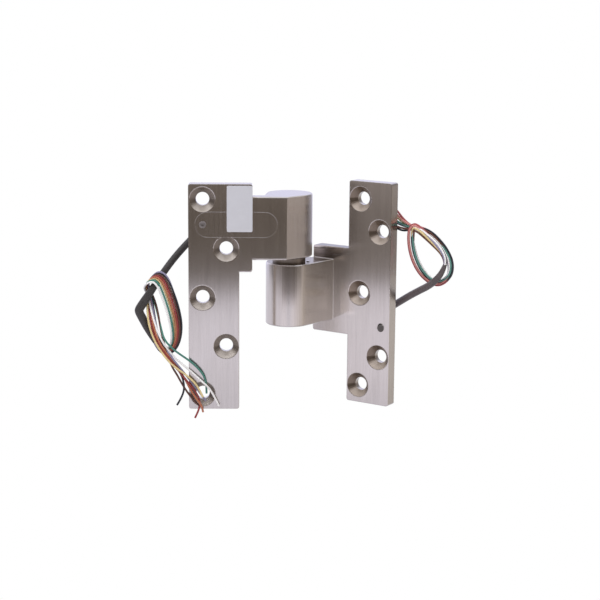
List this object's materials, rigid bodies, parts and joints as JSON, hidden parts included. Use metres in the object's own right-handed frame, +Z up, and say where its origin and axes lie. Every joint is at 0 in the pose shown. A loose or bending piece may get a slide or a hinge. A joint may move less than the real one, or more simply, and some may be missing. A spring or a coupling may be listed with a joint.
{
  "type": "wire transfer pivot hinge",
  "caption": "Offset pivot hinge with two flat countersunk leaves, round knuckles on a hollow pin and coloured wires led through it.",
  "frame": {"origin": "centre of the frame leaf's middle screw hole, on that leaf's back", "axes": "+Z up along the pivot axis, -Y out of the frame leaf's countersunk face, +X along the frame leaf away from the pivot"},
  "size_m": [0.1444, 0.0917, 0.122],
  "materials": {
    "satin_steel": "satin brushed",
    "dark_steel": "dark",
    "pin_steel": "ground",
    "bronze": "sintered",
    "dark_washer": "matte",
    "black_rubber": "matte",
    "black_sleeve": "satin",
    "wire_black": "insulation",
    "wire_brown": "insulation",
    "wire_red": "insulation",
    "wire_orange": "insulation",
    "wire_yellow": "insulation",
    "wire_violet": "insulation",
    "wire_green": "insulation",
    "wire_white": "insulation"
  },
  "bodies": {
    "frame_side": {"jamb_leaf": "satin_steel", "jamb_channel_cover": "satin_steel", "jamb_cover_screw": "dark_steel", "jamb_grommet": "black_rubber", "pivot_pin": "pin_steel", "bore_plug": "pin_steel", "thrust_washer": "dark_washer", "locating_pin": "pin_steel", "jamb_wire_core": "wire_brown", "jamb_sleeve": "black_sleeve", "jamb_wire_hank": "wire_red", "jamb_wire_black": "wire_black", "jamb_wire_brown": "wire_brown", "jamb_wire_red": "wire_red", "jamb_wire_orange": "wire_orange", "jamb_wire_yellow": "wire_yellow", "jamb_wire_violet": "wire_violet", "jamb_wire_green": "wire_green", "jamb_wire_white": "wire_white"},
    "door_side": {"door_leaf": "satin_steel", "door_channel_cover": "satin_steel", "door_cover_screw": "dark_steel", "door_grommet": "black_rubber", "upper_bushing": "bronze", "door_wire_core": "wire_brown", "door_sleeve": "black_sleeve", "door_wire_hank": "wire_red", "door_wire_black": "wire_black", "door_wire_brown": "wire_brown", "door_wire_red": "wire_red", "door_wire_orange": "wire_orange", "door_wire_yellow": "wire_yellow", "door_wire_violet": "wire_violet", "door_wire_green": "wire_green", "door_wire_white": "wire_white"}
  },
  "joints": [
    {"name": "pivot", "type": "hinge", "parent": "frame_side", "child": "door_side", "pos_m": [-0.0312, -0.02595, 0], "axis": [0, 0, 1], "range_deg": [-34.5, 145.5]}
  ]
}
